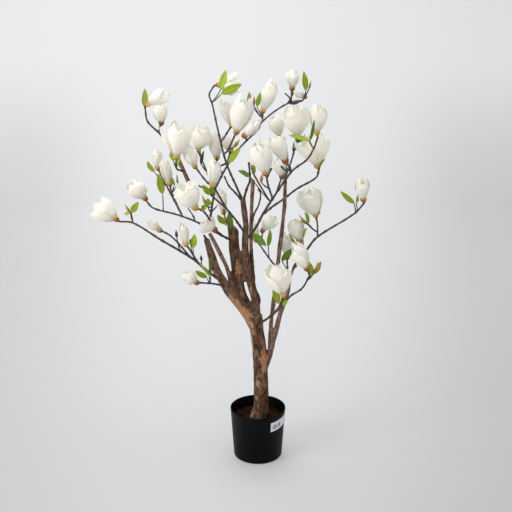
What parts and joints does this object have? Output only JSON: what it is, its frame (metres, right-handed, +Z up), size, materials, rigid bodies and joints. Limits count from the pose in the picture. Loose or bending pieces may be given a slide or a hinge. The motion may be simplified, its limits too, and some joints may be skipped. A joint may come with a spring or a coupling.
{
  "type": "artificial magnolia tree in a pot",
  "caption": "Artificial magnolia tree: a forked wooden trunk with cut poles and thin stems, cream tulip-shaped blossoms and green leaves, set in a plain black nursery pot.",
  "frame": {"origin": "centre of the pot's flat underside, on the floor", "axes": "+Z up; +X to the right and +Y away from a viewer who stands where the picture was taken"},
  "size_m": [0.7883, 0.4935, 1.19],
  "materials": {
    "pot": "satin black moulded plastic, faint vertical sheen",
    "fill": "rough dark brown crumb with rust-coloured flecks",
    "wood": "natural grey-brown bark with smooth tan patches where it has come off",
    "stem": "dark brown moulded plastic over wire, slightly knobbly",
    "blossom": "creamy white silk-like cloth petals, faintly veined",
    "calyx": "ochre to rust moulded cup",
    "leaf": "printed green cloth leaves with a paler midrib",
    "label": null
  },
  "bodies": {
    "root": {"pot": "pot", "fill": "fill", "trunk": "wood", "bough_left": "wood", "bough_centre": "wood", "bough_right": "wood", "pole_centre": "wood", "pole_left_back": "wood", "pole_slim_centre": "wood", "pole_slim_right": "wood", "pole_upper_left": "wood", "stem_lower_left": "stem", "stem_upper_left": "stem", "stem_spray_left": "stem", "stem_inner_left": "stem", "stem_fork_left": "stem", "stem_top_left": "stem", "stem_top_centre": "stem", "stem_cross_centre": "stem", "stem_top_right": "stem", "stem_upper_right": "stem", "stem_right": "stem", "stem_cluster": "stem", "stem_lower_right": "stem", "stem_far_right": "stem", "blossom_back_top": "blossom", "blossom_centre_front": "blossom", "blossom_centre_high": "blossom", "blossom_cross": "blossom", "blossom_far_left": "blossom", "blossom_far_right": "blossom", "blossom_inner_left": "blossom", "blossom_inner_low": "blossom", "blossom_left_front": "blossom", "blossom_low_bud": "blossom", "blossom_low_front": "blossom", "blossom_lower_front": "blossom", "blossom_lower_right": "blossom", "blossom_lowest_left": "blossom", "blossom_middle_back": "blossom", "blossom_middle_front": "blossom", "blossom_open_left": "blossom", "blossom_open_right": "blossom", "blossom_right_front": "blossom", "blossom_right_inner": "blossom", "blossom_right_low_back": "blossom", "blossom_right_mid": "blossom", "blossom_top_centre": "blossom", "blossom_top_left": "blossom", "blossom_top_left_low": "blossom", "blossom_upper_left": "blossom", "blossom_upper_right": "blossom", "blossom_wide_right": "blossom", "blossoms_centre_back": "blossom", "blossoms_cluster": "blossom", "blossoms_crown_left": "blossom", "blossoms_left_back": "blossom", "blossoms_right_back": "blossom", "blossoms_top_right": "blossom"}
  },
  "joints": []
}
